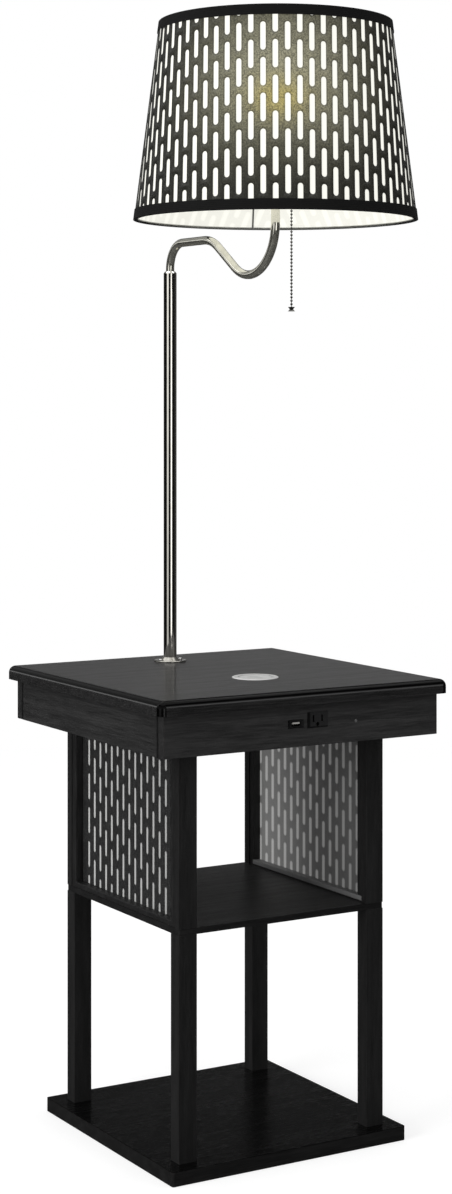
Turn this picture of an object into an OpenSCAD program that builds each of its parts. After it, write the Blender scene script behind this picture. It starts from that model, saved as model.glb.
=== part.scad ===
// Floor lamp standing on a small square table: base board, four legs, a shelf, two slotted
// side panels, a box top with sockets and a charging pad, a pole at the rear, and a bent
// arm that swivels in the pole and carries a tapered shade over the table.
// Millimetres, +Z up. The origin is the middle of the base board's underside. The front,
// with the sockets, faces -Y, and the pole stands at the rear.

/* [Table] */
// Step of the base board beyond the legs' outer faces
base_over = 21; // [10:1:40]
// Thickness of the base board
base_t = 18; // [12:1:25]
// Length of the lower legs, from the base board to the shelf
leg_h = 280; // [200:1:340]
// Step of the legs' outer faces inside the table top's edge
leg_step = 61; // [56:1:75]
// Width of a leg, left to right
leg_x = 25; // [20:1:30]
// Depth of a lower leg, front to back
leg_y = 21; // [17:1:26]
// Thickness of the shelf board
shelf_t = 8; // [6:1:16]
// Step of the shelf's edge behind the legs' outer faces
shelf_inset = 0.5; // [0.25:0.25:3]
// Length of the upper posts, from the shelf to the box
post_h = 220; // [180:1:280]
// Depth of an upper post, front to back
post_y = 12; // [10:1:15]

/* [Side panels] */
// Width of the panel frame's stiles
stile_w = 11; // [8:1:16]
// Height of the panel frame's rails
rail_h = 7; // [6:1:14]
// Step of the panel frame behind the posts' outer and inner faces
frame_inset = 1; // [0.5:0.5:2]
// Thickness of the slotted sheet
sheet_t = 0.8; // [0.5:0.1:1.2]
// Thickness of the translucent liner behind it
liner_t = 0.6; // [0.4:0.1:1]
// Depth of the groove that holds the sheet and the liner
groove_d = 4; // [3:0.5:5]

/* [Slots] */
// Width of one slot
slot_w = 6.5; // [4:0.5:9]
// Length of one slot
slot_l = 35; // [20:1:40]
// Distance between neighbouring columns of slots
slot_pitch = 16; // [12:0.5:22]
// Distance between the slots of one column
slot_rise = 45; // [42:1:60]
// Bare margin of the sheet beside the first column
slot_margin = 8; // [6:1:20]

/* [Box] */
// Side of the square table top
top_w = 425; // [415:1:470]
// Thickness of the table top
top_t = 18; // [12:1:25]
// Radius of the table top's rounded edges and corners
top_round = 9; // [3:0.5:10]
// Overhang of the table top beyond the box
top_over = 11; // [5:1:20]
// Height of the box's boards
apron_h = 53; // [45:1:80]
// Thickness of the box's boards
apron_t = 15; // [12:1:18]
// Thickness of the box's floor
floor_t = 9; // [8:1:14]
// Side of the glue blocks in the box's corners
block_w = 22; // [16:1:26]

/* [Sockets and charging pad] */
// Height of the socket's middle below the table top's upper face
outlet_drop = 39; // [34:1:44]
// Distance of the socket from the middle, to the right
outlet_x = 18.5; // [16:0.5:40]
// Width of the socket's face
outlet_w = 29.5; // [24:0.5:34]
// Height of the socket's face
outlet_h = 19.5; // [16:0.5:22]
// Distance of the charging port from the middle, to the left
usb_x = 13.5; // [12:0.5:40]
// Width of the charging port's face
usb_w = 22; // [16:0.5:24]
// Height of the charging port's face
usb_h = 10; // [8:0.5:14]
// Distance of the indicator from the middle, to the right
led_x = 76; // [60:1:120]
// Diameter of the indicator's lens
led_d = 4; // [3:0.5:6]
// Diameter of the charging pad's rim
pad_d = 60; // [50:1:80]
// Width of the pad's rim
pad_rim = 8; // [4:0.5:12]
// Distance of the pad in front of the table's middle
pad_y = 70; // [50:1:100]
// Distance of the pad to the right of the table's middle
pad_x = 8; // [0:1:20]

/* [Pole] */
// Distance of the pole's middle from the table top's rear edge
pole_edge = 72.5; // [60:0.5:100]
// Outer diameter of the pole
pole_d = 18; // [16:0.5:22]
// Wall of the pole
pole_wall = 1.2; // [0.8:0.1:1.5]
// Height of the pole above the table top, with its cap
pole_h = 534; // [450:1:650]
// Diameter of the flange on the table
flange_d = 44; // [42:1:54]
// Thickness of the flange's plate
flange_t = 2; // [1.5:0.5:4]
// Outer diameter of the threaded nipple through the table top
nipple_d = 10; // [8:0.5:11]

/* [Arm] */
// Outer diameter of the arm's tube
arm_d = 11.5; // [10:0.5:12.5]
// Wall of the arm's tube
arm_wall = 1; // [0.7:0.1:1.5]
// Reach of the arm, from the pole to the shade's middle
arm_reach = 272; // [240:1:320]
// Straight length above the pole's cap
arm_neck = 3.5; // [2:0.5:30]
// Radius of the bend at the pole
bend_r = 34; // [26:1:38]
// Radius of the other two bends
dip_r = 64; // [50:1:68]
// Angle of the arm's sloping stretch, below level
dip_angle = 34; // [25:1:40]
// Length of the arm's sloping stretch
dip_l = 52; // [40:1:60]
// Straight length up into the lamp socket
arm_rise = 52; // [50:1:80]
// Radial clearance of the arm in the pole's cap
swivel_gap = 0.05; // [0.03:0.01:0.1]

/* [Lamp socket and bulb] */
// Diameter of the socket's body
socket_d = 37; // [34:0.5:40]
// Height of the socket's body
socket_h = 44; // [38:1:56]
// Diameter of the bulb
bulb_d = 60; // [50:1:68]
// Height of the bulb's globe above the socket
bulb_h = 88; // [80:1:100]
// Distance of the pull chain from the socket's middle
chain_x = 24; // [23:0.5:28]
// Length of the pull chain below its outlet
chain_l = 163; // [100:1:200]
// Diameter of one bead
bead_d = 3.2; // [2.4:0.1:3.6]
// Distance from bead to bead
bead_pitch = 4.4; // [4:0.1:6]

/* [Shade] */
// Diameter of the shade at the bottom
shade_bottom_d = 361; // [330:1:400]
// Diameter of the shade at the top
shade_top_d = 297; // [270:1:330]
// Height of the shade
shade_h = 250; // [225:1:280]
// Drop of the shade's lower edge below the arm's end
shade_drop = 49.6; // [44:0.2:56]
// Thickness of the slotted cover
cover_t = 0.8; // [0.5:0.1:1.2]
// Thickness of the white liner
shade_liner_t = 0.8; // [0.5:0.1:1.2]
// Height of the tape that trims both edges
trim_h = 13; // [8:1:20]
// Thickness of the trim tape
trim_t = 0.8; // [0.5:0.1:1.2]
// Diameter of the wire rings in both edges
ring_d = 2.4; // [2:0.1:3.4]
// Number of the fitter's arms
spider_arms = 3; // [3:1:4]
// Diameter of the fitter's arms
spider_d = 2.6; // [2:0.1:3]

/* [Hidden] */

$fn = 48;
eps = 0.01;               // overlap of a cut beyond its face
slip = 0.2;               // gap round a loose or glued piece
fastener_gap = 0.1;       // radial gap round a screw, a stud or a pin

// Colours, as the photograph shows them.
c_laminate = "#232323";
c_laminate_top = "#3a3a3a";
c_black = "#161616";
c_white = "#f2f0e8";
c_nickel = "#9d9a90";
c_steel = "#b9bbbd";
c_brass = "#b99a5a";
c_board = "#1f6b46";

// Heights of the table's layers.
shelf_z = base_t + leg_h;
post_z = shelf_z + shelf_t;
box_z = post_z + post_h;
top_z = box_z + apron_h;
table_z = top_z + top_t;

// Places of the legs and posts.
leg_span = top_w - 2 * leg_step;
base_w = leg_span + 2 * base_over;
leg_cx = leg_span / 2 - leg_x / 2;
leg_cy = leg_span / 2 - leg_y / 2;
post_cy = leg_span / 2 - post_y / 2;
corners = [for (sx = [-1, 1], sy = [-1, 1]) [sx, sy]];

// Fasteners of the table.
screw_d = 4;
screw_head_d = 9;
screw_l = 45;
screw_sunk = 0.6;         // depth of a countersunk head's widest part under the board's face
head_flat = 0.2;          // height of the head's rim
end_gap = 1.5;            // depth of a hole beyond the end of its screw or stud
stud_d = 5;
stud_grip = 18;
insert_d = 8;
insert_l = floor_t - 1;
insert_flange_d = 16;
insert_flange_t = 1.2;

// The side panels: a frame between the posts, with the sheet in a groove at mid width.
frame_half_y = leg_span / 2 - post_y - slip;
window_half_y = frame_half_y - stile_w;
window_z0 = post_z + rail_h;
window_z1 = box_z - rail_h;
frame_depth = leg_x - 2 * frame_inset;
panel_stack = sheet_t + liner_t + 3 * slip;
panel_half_y = window_half_y + groove_d;
slot_columns = floor((window_half_y - slot_margin) / slot_pitch);
slot_phase = 21.5;        // lower end of a slot in the first column, above the window

base_corner = 3;
shelf_corner = 0.6;

// The box.
box_w = top_w - 2 * top_over;
box_in = box_w - 2 * apron_t;
apron_seam = 0.4;         // open joint between the side boards and the front and rear boards
port_depth = apron_t + 22;
port_proud = 0.6;
outlet_z = table_z - outlet_drop;
usb_up = 1.5;             // height of the port's face above the lower edge of the socket's
usb_z = outlet_z - outlet_h / 2 + usb_h / 2 + usb_up;
usb_mouth_w = 13;
usb_mouth_h = 5.6;
port_mouth_depth = 12;
tongue_t = 2;
tongue_step = 1;          // distance of the tongue inside the mouth
led_dome = 0.5;
led_shoulder = 1.5;
led_z = outlet_z - outlet_h / 2 + led_d;
blade_w = 2.6;            // width of the socket's blade slots
blade_h = 8.8;
blade_pitch = 12.7;
blade_up = 1.5;           // height of the slots' middle above the socket's middle
blade_depth = 16;
earth_d = 5;
earth_down = 5.5;
contact_step = 8;         // depth of the contacts behind the socket's face
contact_wall = 0.5;
board_w = 95;
board_d = 60;
board_t = 1.6;
board_foot_d = 6;
board_foot_h = 3.5;
board_parts = [[-24, 22, 24, 20, 16], [20, 40, 16, 14, 12]];   // x, y, width, depth, height
gland_d = 12;
gland_lip = 3;            // height and spread of the gland's lip and nut
gland_bore = 6.4;
gland_x = 60;
gland_z = box_z + floor_t + gland_d;

// The charging pad.
pad_disc_d = pad_d - 2 * pad_rim - 2 * slip;
pad_ledge = 1.8;          // width of the ledge that carries the disc
pad_case_d = pad_disc_d - 2 * pad_ledge;
pad_case_h = 12;
pad_case_wall = 1.5;
pad_recess = 2.2;
pad_proud = 0.6;
pad_chamfer = 0.5;
pad_groove = 1;
coil_t = 2;

// The pole and its fixings.
pole_y = top_w / 2 - pole_edge;
pole_in = pole_d - 2 * pole_wall;
cap_h = 4;
cap_slope_h = 2.5;
cap_lip = 1.2;            // width of the cap's upper face round the arm
spigot_h = 15;
pole_top_z = table_z + pole_h;
flange_screw_r = (pole_d + flange_d) / 4;
flange_screw_d = 3;
flange_screw_l = 12;
flange_head_d = 6.2;
flange_head_h = 2.2;
flange_head_r = 5;
driver_w = 3.6;
driver_t = 0.8;
flange_edge = 0.5;
boss_h = 4;
boss_lip = 1;             // width of the boss beyond the pole at its top
pole_web = 8;             // height of the web in the pole's foot
nipple_grip = 10;
nipple_wall = 1.5;
nut_w = 17;
nut_t = 5;
washer_d = 24;
washer_t = 1.5;

// The arm lies in the plane x = 0. It rises from the pole, bends forward, slopes down and
// bends up again into the socket. Its points and the bends' centres are [y, z] from the
// start of the first bend.
arm_tail = 10;            // length of the arm below the cap's spigot
arm_foot_z = pole_top_z - cap_h - spigot_h - arm_tail;
bend_z = pole_top_z + arm_neck;
level_l = arm_reach - bend_r - 2 * dip_r * sin(dip_angle) - dip_l * cos(dip_angle) - dip_r;
bend_c = [-bend_r, 0];
dip_c1 = [-bend_r - level_l, bend_r - dip_r];
dip_p1 = dip_c1 + dip_r * [-sin(dip_angle), cos(dip_angle)];
dip_p2 = dip_p1 + dip_l * [-cos(dip_angle), -sin(dip_angle)];
dip_c2 = dip_p2 + dip_r * [-sin(dip_angle), cos(dip_angle)];
rise_p = dip_c2 - [dip_r, 0];
arm_end_z = bend_z + rise_p[1] + arm_rise;
shade_y = pole_y - arm_reach;
ring_h = 3;
ring_press = 0.05;        // radial press of the ring on the arm
ring_play = 0.5;          // radial gap between the ring and the pole
swivel_end_gap = 0.3;     // gap between the ring and the cap
bend_lap = 0.5;
bend_thinning = 0.04;

// The socket and the bulb, above the arm's end.
cup_h = 20;
cup_wall = 1.2;
cup_floor = 3;
cup_rim_h = 6;
cup_foot = 3;             // width of the cup's foot round the arm
seat_h = 5;               // depth of the socket's body in the cup
seat_step = 3;            // width of the body's step on the cup's rim
cup_z = arm_end_z - cup_floor;
socket_z = cup_z + cup_h;
hub_z = socket_z + 10;
hub_t = 2;
hub_d = 2 * (socket_d / 2 + 8);
socket_ring_h = 8;
socket_ring_w = 4;
shell_d = 27;
shell_depth = 34;
shell_foot = 4;           // gap below the bulb's tip
tip_h = 3;
tip_d = 10;
thread_pitch = 4;
thread_count = 5;
thread_d = 0.9;
glass_t = 1;
bulb_z = socket_z + socket_h;
outlet_boss_d = 8;
outlet_boss_h = 15;
outlet_boss_z = cup_z + 3;
outlet_boss_top = 1.5;
chain_bore = bead_d + 0.8;
chain_top = 11.6;         // length of chain inside its outlet
wire_d = 1;
bell_d = 9;
bell_h = 5.6;
bell_bore = bead_d + 0.4;
bell_seat = 2.4;          // depth of the last bead in the bell
bead_count = floor((chain_l + chain_top) / bead_pitch);
chain_z = outlet_boss_z + chain_top;

// The shade: a cone of tape, cover and liner, from the outside in.
shade_z = arm_end_z - shade_drop;
shade_top_z = shade_z + shade_h;
shade_taper = (shade_bottom_d - shade_top_d) / 2 / shade_h;
skin_gap = 0.2;
cover_in = trim_t + skin_gap;
liner_in = cover_in + cover_t + skin_gap;
ring_in = liner_in + shade_liner_t + skin_gap + max(ring_d, spider_d) / 2;
edge_gap = trim_t + skin_gap;
fold_in = ring_in + ring_d / 2 + 0.6;
fold_h = 5;
spider_turn = 68;         // direction of the first arm, from +X towards +Y
spider_knee = 28;         // height of the arms' knee above the shade's lower edge
spider_knee_in = 3;       // distance of the knee inside the wire ring
knee_swell = 0.6;         // growth of the bar in its bend

// Radius of the shade's outer face at a height above its lower edge.
function shade_r(h) = shade_bottom_d / 2 - shade_taper * h;

// ---------------------------------------------------------------------------------------
// Shapes used by several pieces

module box_at(size, centre) {
  translate(centre - size / 2) cube(size);
}

// A board with rounded plan corners, standing on z = 0.
module board(w, d, t, r) {
  linear_extrude(t) union() {
    square([w - 2 * r, d], center = true);
    square([w, d - 2 * r], center = true);
    for (c = corners) translate([c[0] * (w / 2 - r), c[1] * (d / 2 - r)]) circle(r);
  }
}

// A round bar between two points.
module rod(a, b, d) {
  v = b - a;
  l = norm(v);
  translate(a) rotate([0, acos(v[2] / l), atan2(v[1], v[0])]) cylinder(h = l, d = d);
}

module ring_shape(outer_d, inner_d, h) {
  difference() {
    cylinder(h = h, d = outer_d);
    translate([0, 0, -eps]) cylinder(h = h + 2 * eps, d = inner_d);
  }
}

// A hole for a screw, stud or pin, from one height to another.
module drill(z0, z1, d) {
  translate([0, 0, z0 - eps]) cylinder(h = z1 - z0 + 2 * eps, d = d + 2 * fastener_gap);
}

// A cone of 90 degrees that comes to a point.
module point(r) {
  cylinder(h = r, r1 = r, r2 = eps);
}

module hexagon_nut(w, t, bore) {
  difference() {
    intersection_for (a = [0, 60, 120]) rotate(a) translate([-w / 2, -w, 0]) cube([w, 2 * w, t]);
    translate([0, 0, -eps]) cylinder(h = t + 2 * eps, d = bore);
  }
}

// A conical skin of the shade, from one height to another, some way inside its outer face.
module shade_skin(z0, z1, inset, t) {
  translate([0, shade_y, shade_z + z0]) difference() {
    cylinder(h = z1 - z0, r1 = shade_r(z0) - inset, r2 = shade_r(z1) - inset, $fn = 96);
    translate([0, 0, -eps])
      cylinder(h = z1 - z0 + 2 * eps, r1 = shade_r(z0 - eps) - inset - t,
        r2 = shade_r(z1 + eps) - inset - t, $fn = 96);
  }
}

// ---------------------------------------------------------------------------------------
// Base, legs and shelf

module base_board() {
  color(c_laminate) difference() {
    board(base_w, base_w, base_t, base_corner);
    for (c = corners) translate([c[0] * leg_cx, c[1] * leg_cy, 0]) {
      drill(0, base_t, screw_d);
      drill(-eps, screw_sunk, screw_head_d);
      translate([0, 0, screw_sunk]) point(screw_head_d / 2 + fastener_gap);
    }
  }
}

module leg(sx, sy) {
  color(c_laminate) difference() {
    box_at([leg_x, leg_y, leg_h], [sx * leg_cx, sy * leg_cy, base_t + leg_h / 2]);
    translate([sx * leg_cx, sy * leg_cy, 0]) drill(base_t, screw_l + end_gap, screw_d);
    translate([sx * leg_cx, sy * post_cy, 0]) drill(shelf_z - stud_grip - end_gap, shelf_z, stud_d);
  }
}

module leg_front_left() leg(-1, -1);
module leg_front_right() leg(1, -1);
module leg_rear_left() leg(-1, 1);
module leg_rear_right() leg(1, 1);

module base_screws() {
  color(c_steel) for (c = corners)
    translate([c[0] * leg_cx, c[1] * leg_cy, screw_sunk - head_flat]) {
      cylinder(h = screw_l, d = screw_d);
      cylinder(h = head_flat + eps, d = screw_head_d);
      translate([0, 0, head_flat]) point(screw_head_d / 2);
    }
}

module shelf_board() {
  shelf_w = leg_span - 2 * shelf_inset;
  color(c_laminate) difference() {
    translate([0, 0, shelf_z]) board(shelf_w, shelf_w, shelf_t, shelf_corner);
    for (c = corners) translate([c[0] * leg_cx, c[1] * post_cy, 0]) drill(shelf_z, post_z, stud_d);
  }
}

module leg_studs() {
  color(c_steel) for (c = corners)
    translate([c[0] * leg_cx, c[1] * post_cy, shelf_z - stud_grip])
      cylinder(h = shelf_t + 2 * stud_grip, d = stud_d);
}

module post(sx, sy) {
  color(c_laminate) difference() {
    box_at([leg_x, post_y, post_h], [sx * leg_cx, sy * post_cy, post_z + post_h / 2]);
    translate([sx * leg_cx, sy * post_cy, 0]) {
      drill(post_z, post_z + stud_grip + end_gap, stud_d);
      drill(box_z - stud_grip - end_gap, box_z, stud_d);
    }
  }
}

module post_front_left() post(-1, -1);
module post_front_right() post(1, -1);
module post_rear_left() post(-1, 1);
module post_rear_right() post(1, 1);

module post_studs() {
  color(c_steel) for (c = corners)
    translate([c[0] * leg_cx, c[1] * post_cy, box_z - stud_grip])
      cylinder(h = stud_grip + insert_l, d = stud_d);
}

module floor_inserts() {
  color(c_steel) for (c = corners)
    translate([c[0] * leg_cx, c[1] * post_cy, box_z + floor_t - insert_l]) difference() {
      union() {
        cylinder(h = insert_l + eps, d = insert_d);
        translate([0, 0, insert_l]) cylinder(h = insert_flange_t, d = insert_flange_d);
      }
      drill(0, insert_l + insert_flange_t, stud_d);
    }
}

// ---------------------------------------------------------------------------------------
// Slotted side panels

// One column of slots in the plane of the panel, cut off at the window's edges.
module slot_column(y, shift) {
  height = window_z1 - window_z0;
  intersection() {
    translate([y - slot_w, 0]) square([2 * slot_w, height]);
    for (n = [-2 : ceil(height / slot_rise)]) {
      z = slot_phase + shift + n * slot_rise;
      translate([y - slot_w / 2, z + slot_w / 2]) square([slot_w, slot_l - slot_w]);
      for (e = [slot_w / 2, slot_l - slot_w / 2])
        translate([y, z + e]) circle(d = slot_w, $fn = 24);
    }
  }
}

module panel_outline() {
  translate([-panel_half_y, -groove_d + slip])
    square([2 * panel_half_y, window_z1 - window_z0 + 2 * (groove_d - slip)]);
}

// Turns a drawing in [y, z] into a sheet at the given place across the leg.
module upright_sheet(x, t) {
  translate([x - t / 2, 0, window_z0]) rotate([90, 0, 90]) linear_extrude(t) children();
}

module panel_frame(sx) {
  depth = groove_d + slip;
  color(c_laminate) difference() {
    box_at([frame_depth, 2 * frame_half_y, post_h], [sx * leg_cx, 0, post_z + post_h / 2]);
    box_at([leg_x, 2 * window_half_y, window_z1 - window_z0],
      [sx * leg_cx, 0, (window_z0 + window_z1) / 2]);
    box_at([panel_stack, 2 * (window_half_y + depth), window_z1 - window_z0 + 2 * depth],
      [sx * leg_cx, 0, (window_z0 + window_z1) / 2]);
  }
}

module panel_sheet(sx) {
  x = sx * (leg_cx + panel_stack / 2 - slip - sheet_t / 2);
  color(c_black) upright_sheet(x, sheet_t) difference() {
    panel_outline();
    for (n = [-slot_columns : slot_columns])
      slot_column(n * slot_pitch, (n + slot_columns) % 2 * slot_rise / 2);
  }
}

module panel_liner(sx) {
  x = sx * (leg_cx - panel_stack / 2 + slip + liner_t / 2);
  color(c_white) upright_sheet(x, liner_t) panel_outline();
}

module panel_frame_left() panel_frame(-1);
module panel_frame_right() panel_frame(1);
module panel_sheet_left() panel_sheet(-1);
module panel_sheet_right() panel_sheet(1);
module panel_liner_left() panel_liner(-1);
module panel_liner_right() panel_liner(1);

// ---------------------------------------------------------------------------------------
// The box and the table top

module port_cut(x, z, w, h) {
  box_at([w + 2 * fastener_gap, 3 * apron_t, h + 2 * fastener_gap], [x, -box_w / 2, z]);
}

module apron_front() {
  color(c_laminate) difference() {
    box_at([box_w, apron_t, apron_h], [0, -box_w / 2 + apron_t / 2, box_z + apron_h / 2]);
    port_cut(outlet_x, outlet_z, outlet_w, outlet_h);
    port_cut(-usb_x, usb_z, usb_w, usb_h);
    translate([led_x, -box_w / 2 - eps, led_z]) rotate([-90, 0, 0])
      cylinder(h = apron_t + 2 * eps, d = led_d + 2 * fastener_gap);
  }
}

module apron_rear() {
  color(c_laminate) difference() {
    box_at([box_w, apron_t, apron_h], [0, box_w / 2 - apron_t / 2, box_z + apron_h / 2]);
    translate([gland_x, box_w / 2 + eps, gland_z]) rotate([90, 0, 0])
      cylinder(h = apron_t + 2 * eps, d = gland_d + 2 * fastener_gap);
  }
}

module apron_side(sx) {
  color(c_laminate) box_at([apron_t, box_in - 2 * apron_seam, apron_h],
    [sx * (box_w - apron_t) / 2, 0, box_z + apron_h / 2]);
}

module apron_left() apron_side(-1);
module apron_right() apron_side(1);

module box_floor() {
  color(c_laminate) difference() {
    box_at([box_in, box_in, floor_t], [0, 0, box_z + floor_t / 2]);
    for (c = corners) translate([c[0] * leg_cx, c[1] * post_cy, 0])
      drill(box_z, box_z + floor_t, insert_d);
  }
}

module glue_blocks() {
  inner = (box_in - block_w) / 2;
  color(c_laminate) for (c = corners)
    box_at([block_w, block_w, apron_h - floor_t],
      [c[0] * inner, c[1] * inner, (box_z + floor_t + top_z) / 2]);
}

// The top is a slab with quarter-round upper edges and ball corners of the same radius.
module table_top() {
  r = top_round;
  half = top_w / 2 - r;
  color(c_laminate_top) difference() {
    union() {
      translate([0, 0, top_z]) board(top_w, top_w, top_t - r, r);
      translate([0, 0, top_z]) board(2 * half, 2 * half, top_t, eps);
      for (s = [-1, 1]) {
        translate([s * half, half, table_z - r]) rotate([90, 0, 0]) cylinder(h = 2 * half, r = r);
        translate([-half, s * half, table_z - r]) rotate([0, 90, 0]) cylinder(h = 2 * half, r = r);
      }
      for (c = corners) translate([c[0] * half, c[1] * half, table_z - r]) sphere(r);
    }
    translate([pad_x, -pad_y, table_z - pad_recess]) cylinder(h = top_t, d = pad_d + 2 * slip);
    translate([pad_x, -pad_y, top_z - eps]) cylinder(h = top_t, d = pad_case_d + 2 * slip);
    translate([0, pole_y, 0]) drill(top_z, table_z, nipple_d);
    for (s = [-1, 1]) translate([s * flange_screw_r, pole_y, 0])
      drill(table_z - flange_screw_l, table_z, flange_screw_d);
  }
}

// ---------------------------------------------------------------------------------------
// Charging pad, sockets and electrics

module charger_rim() {
  hole = pad_d - 2 * pad_rim;
  h = pad_recess + pad_proud;
  color(c_steel) translate([pad_x, -pad_y, table_z - pad_recess]) difference() {
    union() {
      cylinder(h = h, d = pad_d);
      translate([0, 0, h - eps])
        cylinder(h = pad_chamfer, d1 = pad_d, d2 = pad_d - 4 * pad_chamfer);
    }
    translate([0, 0, -eps]) cylinder(h = h + 2 * pad_chamfer, d = hole);
    translate([0, 0, h]) ring_shape(hole + pad_rim + pad_groove, hole + pad_rim - pad_groove, h);
  }
}

module charger_disc() {
  h = pad_recess + pad_proud;
  color(c_white) translate([pad_x, -pad_y, table_z - pad_recess]) difference() {
    cylinder(h = h, d = pad_disc_d);
    translate([0, 0, h - pad_chamfer]) cylinder(h = h, d = pad_disc_d / 2);
  }
}

module charger_case() {
  color(c_black) translate([pad_x, -pad_y, table_z - pad_recess - pad_case_h]) difference() {
    cylinder(h = pad_case_h, d = pad_case_d);
    translate([0, 0, pad_case_h - coil_t - slip])
      cylinder(h = pad_case_h, d = pad_case_d - 2 * pad_case_wall);
  }
}

module charger_coil() {
  d = pad_case_d - 2 * pad_case_wall - 2 * slip;
  color(c_brass) translate([pad_x, -pad_y, table_z - pad_recess - coil_t - slip])
    ring_shape(d, d / 2, coil_t);
}

module usb_module() {
  y0 = -box_w / 2 - port_proud;
  color(c_black) difference() {
    box_at([usb_w, port_depth, usb_h], [-usb_x, y0 + port_depth / 2, usb_z]);
    box_at([usb_mouth_w, 2 * port_mouth_depth, usb_mouth_h], [-usb_x, y0, usb_z]);
  }
}

module usb_tongue() {
  l = port_mouth_depth - tongue_step;
  y0 = -box_w / 2 - port_proud;
  color(c_white) box_at([usb_mouth_w - 2 * tongue_step, l, tongue_t],
    [-usb_x, y0 + tongue_step + l / 2, usb_z + tongue_step]);
}

module outlet_body() {
  y0 = -box_w / 2 - port_proud;
  color(c_black) difference() {
    box_at([outlet_w, port_depth, outlet_h], [outlet_x, y0 + port_depth / 2, outlet_z]);
    for (s = [-1, 1]) box_at([blade_w, 2 * blade_depth, blade_h],
      [outlet_x + s * blade_pitch / 2, y0, outlet_z + blade_up]);
    translate([outlet_x, y0 - eps, outlet_z - earth_down]) rotate([-90, 0, 0])
      cylinder(h = blade_depth, d = earth_d);
  }
}

// Two spring contacts, each a folded brass strip at the foot of its slot.
module outlet_contacts() {
  l = blade_depth - contact_step;
  w = blade_w - 2 * fastener_gap;
  h = blade_h - 2 * fastener_gap;
  color(c_brass) for (s = [-1, 1])
    translate([outlet_x + s * blade_pitch / 2, contact_step - box_w / 2 - port_proud,
      outlet_z + blade_up]) difference() {
        box_at([w, l, h], [0, l / 2, 0]);
        box_at([w - 2 * contact_wall, 2 * (l - 2 * contact_wall), h + 2 * eps], [0, 0, 0]);
      }
}

module power_board() {
  y0 = port_depth - box_w / 2 - port_proud + slip;
  step = board_foot_d;
  color(c_board) translate([(outlet_x - usb_x) / 2, y0, box_z + floor_t]) union() {
    box_at([board_w, board_d, board_t], [0, board_d / 2, board_foot_h + board_t / 2]);
    for (b = board_parts)
      box_at([b[2], b[3], b[4]], [b[0], b[1], board_foot_h + board_t + b[4] / 2]);
    for (c = corners)
      translate([c[0] * (board_w / 2 - step), board_d / 2 + c[1] * (board_d / 2 - step), 0])
        cylinder(h = board_foot_h + eps, d = board_foot_d);
  }
}

module indicator_led() {
  color(c_white) translate([led_x, -box_w / 2, led_z]) rotate([-90, 0, 0]) union() {
    cylinder(h = apron_t + 2 * fastener_gap, d = led_d);
    translate([0, 0, apron_t + fastener_gap])
      cylinder(h = led_shoulder, d = led_d + led_shoulder);
    translate([0, 0, -led_dome])
      cylinder(h = led_dome + eps, d1 = led_d - 2 * led_dome, d2 = led_d);
  }
}

module cord_gland() {
  l = apron_t + slip;
  color(c_black) translate([gland_x, box_w / 2, gland_z]) rotate([90, 0, 0]) difference() {
    union() {
      translate([0, 0, -gland_lip])
        cylinder(h = gland_lip, d1 = gland_d + 2, d2 = gland_d + 2 * gland_lip);
      translate([0, 0, -eps]) cylinder(h = l + gland_lip, d = gland_d);
      translate([0, 0, l]) cylinder(h = gland_lip + 1, d = gland_d + gland_lip);
    }
    translate([0, 0, -gland_lip - eps]) cylinder(h = l + 3 * gland_lip, d = gland_bore);
  }
}

// ---------------------------------------------------------------------------------------
// The pole

module pole_flange() {
  flat = flange_t - flange_edge;
  top = pole_d + 2 * boss_lip;
  color(c_nickel) translate([0, pole_y, table_z]) difference() {
    union() {
      cylinder(h = flat, d = flange_d);
      translate([0, 0, flat - eps])
        cylinder(h = flange_edge + eps, d1 = flange_d, d2 = flange_d - 2 * flange_edge);
      translate([0, 0, flange_t - eps])
        cylinder(h = boss_h, d1 = top + 1.5 * boss_h, d2 = top);
    }
    drill(flange_t + eps, flange_t + boss_h, pole_d);
    drill(0, flange_t, nipple_d);
    for (s = [-1, 1]) translate([s * flange_screw_r, 0, 0]) {
      drill(0, flange_t, flange_screw_d + 2 * fastener_gap);
      drill(flange_t + eps, flange_t + boss_h, flange_head_d);
    }
  }
}

module flange_screws() {
  color(c_steel) for (s = [-1, 1])
    translate([s * flange_screw_r, pole_y, table_z + flange_t]) {
      translate([0, 0, -flange_screw_l]) cylinder(h = flange_screw_l + eps, d = flange_screw_d);
      difference() {
        intersection() {
          cylinder(h = flange_head_h, d = flange_head_d);
          translate([0, 0, flange_head_h - flange_head_r]) sphere(flange_head_r);
        }
        for (a = [0, 90]) rotate(a)
          box_at([driver_w, driver_t, flange_head_h], [0, 0, 1.2 * flange_head_h]);
      }
    }
}

module pole_nipple() {
  z0 = top_z - washer_t - nut_t - end_gap;
  color(c_steel) translate([0, pole_y, z0])
    ring_shape(nipple_d, nipple_d - 2 * nipple_wall, table_z + flange_t + nipple_grip - z0);
}

module nipple_nut() {
  color(c_steel) translate([0, pole_y, top_z - washer_t]) union() {
    ring_shape(washer_d, nipple_d + 2 * fastener_gap, washer_t);
    translate([0, 0, -nut_t + eps]) hexagon_nut(nut_w, nut_t, nipple_d + 2 * fastener_gap);
  }
}

// The pole's foot is closed by a web, threaded on the nipple.
module pole_tube() {
  z0 = table_z + flange_t;
  color(c_nickel) translate([0, pole_y, z0]) difference() {
    cylinder(h = pole_top_z - cap_h - z0, d = pole_d);
    translate([0, 0, pole_web]) cylinder(h = pole_h, d = pole_in);
    drill(0, pole_web, nipple_d);
  }
}

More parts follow.
